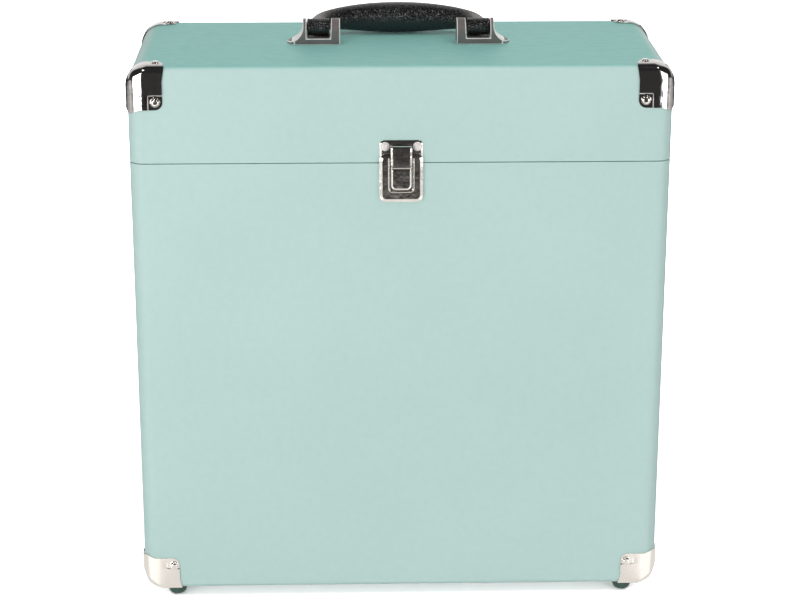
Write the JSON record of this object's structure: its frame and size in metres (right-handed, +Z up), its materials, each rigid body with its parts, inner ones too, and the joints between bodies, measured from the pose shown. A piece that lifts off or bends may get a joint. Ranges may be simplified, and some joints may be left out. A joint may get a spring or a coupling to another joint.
{
  "type": "record carrying case",
  "caption": "Upright board case covered in teal leathercloth, with a lid hinged at the back, a draw latch at the front, metal corners, feet and a folding grip.",
  "frame": {"origin": "on the floor, under the middle of the whole case", "axes": "+Z up, the latch faces -Y, the hinges are at +Y, +X is to the right seen from the front"},
  "size_m": [0.3572, 0.1611, 0.3982],
  "materials": {
    "board": "bare plywood",
    "leathercloth": "pale teal embossed leathercloth, satin",
    "lining": "dark woven lining",
    "foot_rubber": "dark green rubber, matt",
    "corner_chrome": "polished",
    "corner_nickel": "polished warm nickel",
    "bracket_metal": "satin nickel",
    "grip": "black pebbled grain",
    "steel": "plain",
    "nickel": "polished nickel"
  },
  "bodies": {
    "case_body": {"body_front_board": "board", "body_back_board": "board", "body_left_board": "board", "body_right_board": "board", "body_base_board": "board", "body_cover": "leathercloth", "body_lining": "lining", "corner_bottom_front_left": "corner_nickel", "corner_bottom_front_right": "corner_nickel", "corner_bottom_back_left": "corner_nickel", "corner_bottom_back_right": "corner_nickel", "bottom_corner_rivets": "nickel", "foot_front_left": "foot_rubber", "foot_front_right": "foot_rubber", "foot_back_left": "foot_rubber", "foot_back_right": "foot_rubber", "foot_nails": "steel", "latch_plate": "nickel", "latch_pivot_pins": "nickel", "latch_plate_rivets": "nickel", "hinge_left_lower_leaf": "nickel", "hinge_right_lower_leaf": "nickel", "hinge_pins": "nickel", "hinge_body_rivets": "nickel"},
    "lid": {"lid_front_board": "board", "lid_back_board": "board", "lid_left_board": "board", "lid_right_board": "board", "lid_top_board": "board", "lid_cover": "leathercloth", "lid_lining": "lining", "corner_top_front_left": "corner_chrome", "corner_top_front_right": "corner_chrome", "corner_top_back_left": "corner_chrome", "corner_top_back_right": "corner_chrome", "top_corner_rivets": "nickel", "strike_plate": "nickel", "strike_rivets": "nickel", "hinge_left_upper_leaf": "nickel", "hinge_right_upper_leaf": "nickel", "hinge_lid_rivets": "nickel", "handle_bracket_left": "bracket_metal", "handle_bracket_right": "bracket_metal", "handle_pins": "steel", "handle_screws": "steel"},
    "latch_lever": {"latch_lever": "nickel", "latch_hasp_pin": "nickel"},
    "latch_hasp": {"latch_hasp": "nickel"},
    "handle": {"handle_grip": "grip"}
  },
  "joints": [
    {"name": "lid_hinge", "type": "hinge", "parent": "case_body", "child": "lid", "pos_m": [0, 0.0775, 0.3128], "axis": [-1, 0, 0], "range_deg": [0, 100]},
    {"name": "latch_lever_turn", "type": "hinge", "parent": "case_body", "child": "latch_lever", "pos_m": [0, -0.0789, 0.3153], "axis": [-1, 0, 0], "range_deg": [0, 100]},
    {"name": "latch_hasp_turn", "type": "hinge", "parent": "latch_lever", "child": "latch_hasp", "pos_m": [0, -0.0805, 0.3111], "axis": [-1, 0, 0], "range_deg": [-125, 0]},
    {"name": "handle_swing", "type": "hinge", "parent": "lid", "child": "handle", "pos_m": [0, 0, 0.3878], "axis": [1, 0, 0], "range_deg": [0, 180]}
  ],
  "couplings": [
    {"joint": "latch_hasp_turn", "follows": "latch_lever_turn", "ratio": -1.25}
  ]
}
